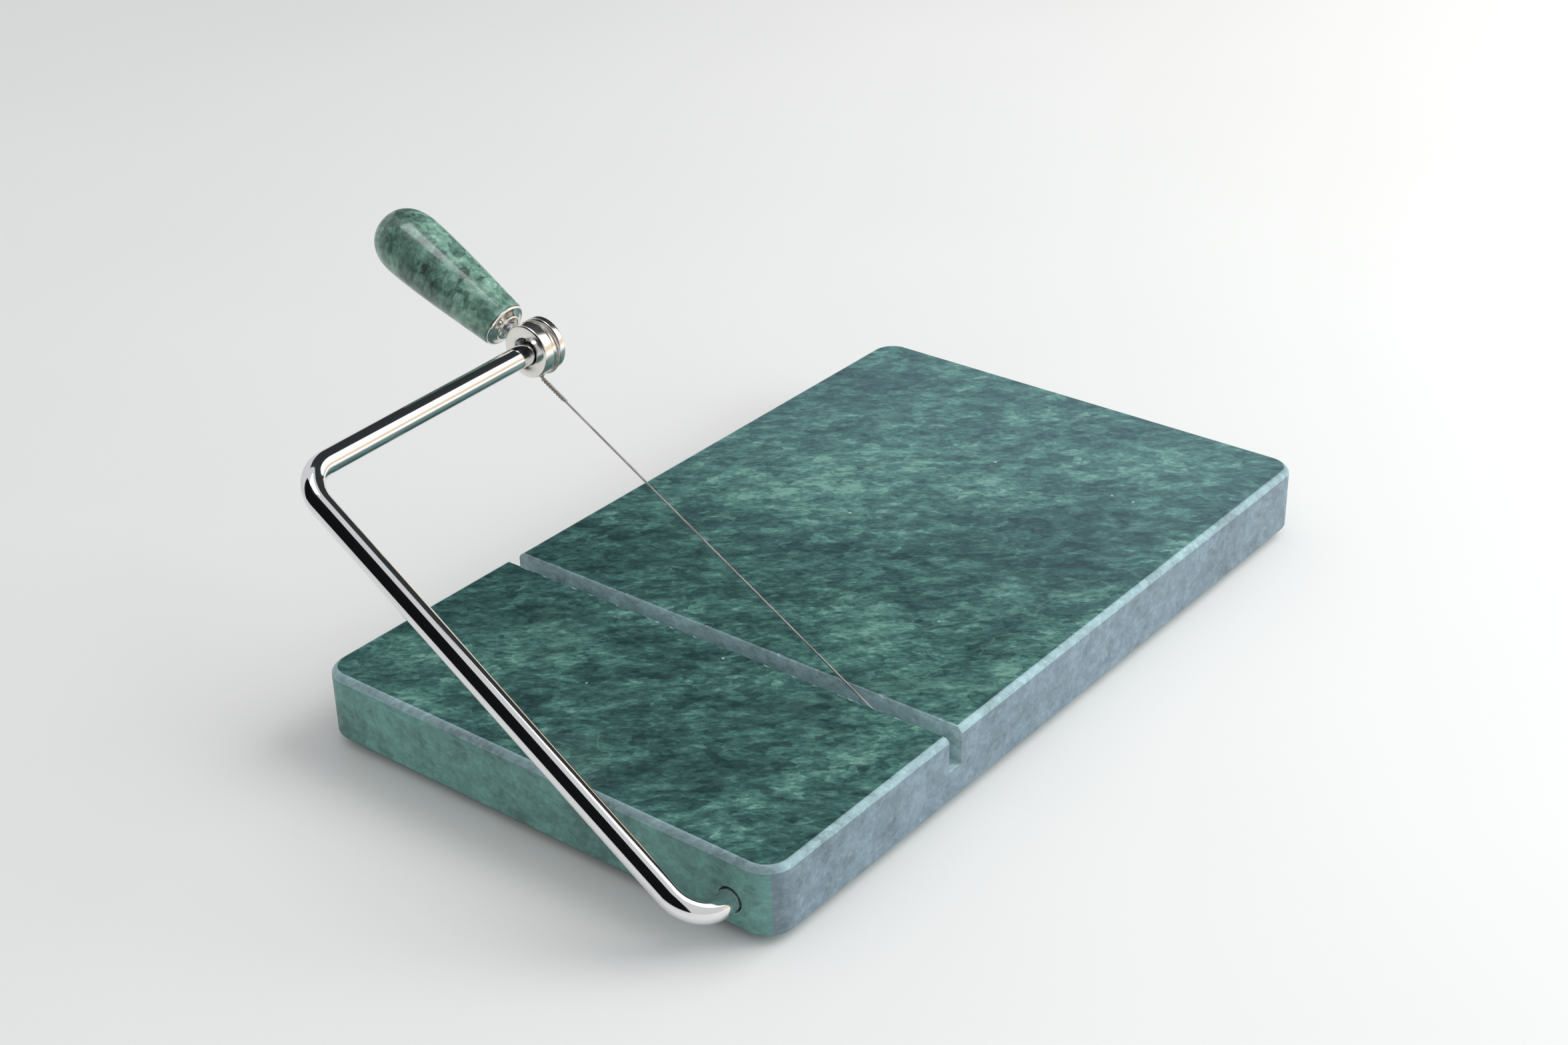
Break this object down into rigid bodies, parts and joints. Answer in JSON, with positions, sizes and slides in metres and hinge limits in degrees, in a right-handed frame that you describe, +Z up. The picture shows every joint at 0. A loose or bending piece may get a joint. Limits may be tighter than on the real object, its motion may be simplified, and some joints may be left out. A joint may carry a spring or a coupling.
{
  "type": "cheese wire cutter",
  "caption": "Marble board with a sawn slot and a hinged chrome rod bow that pulls a taut wire down through cheese, tightened by turning its marble handle.",
  "frame": {"origin": "centre of the board's flat underside, which the feet hold 1.5 mm above the table", "axes": "+Z up; +X along the board, away from the short face that the bow's rod enters; +Y along the slot, away from the hinge"},
  "size_m": [0.2226, 0.1582, 0.0993],
  "materials": {
    "green_marble": "polished green marble, sawn sides",
    "handle_marble": "polished green marble",
    "foot_rubber": "matt",
    "rod_chrome": "bright chrome plate",
    "drum_chrome": "bright chrome plate",
    "ferrule_chrome": "bright chrome plate",
    "stud_zinc": "zinc plated thread",
    "insert_brass": "plain",
    "wire_steel": "drawn stainless wire"
  },
  "bodies": {
    "board": {"marble_board": "green_marble", "rubber_foot_1": "foot_rubber", "rubber_foot_2": "foot_rubber", "rubber_foot_3": "foot_rubber", "rubber_foot_4": "foot_rubber"},
    "bow": {"bow_rod": "rod_chrome", "cutting_wire": "wire_steel"},
    "drum": {"tension_drum": "drum_chrome"},
    "handle": {"tension_stud": "stud_zinc", "handle_ferrule": "ferrule_chrome", "handle_insert": "insert_brass", "marble_handle": "handle_marble"}
  },
  "joints": [
    {"name": "bow_hinge", "type": "hinge", "parent": "board", "child": "bow", "pos_m": [0, -0.052, 0.0066], "axis": [1, 0, 0], "range_deg": [-28.5, 51]},
    {"name": "handle_spin", "type": "hinge", "parent": "bow", "child": "handle", "pos_m": [-0.0444, 0.05107, 0.07354], "axis": [0, 0.91, 0.4147], "range_deg": [-45, 360]},
    {"name": "drum_slide", "type": "slide", "parent": "bow", "child": "drum", "axis": [0, 0.91, 0.4147], "range_m": [-0.00071, 0.0001]}
  ],
  "couplings": [
    {"joint": "drum_slide", "follows": "handle_spin", "m_per_rad": -0.00011141}
  ]
}
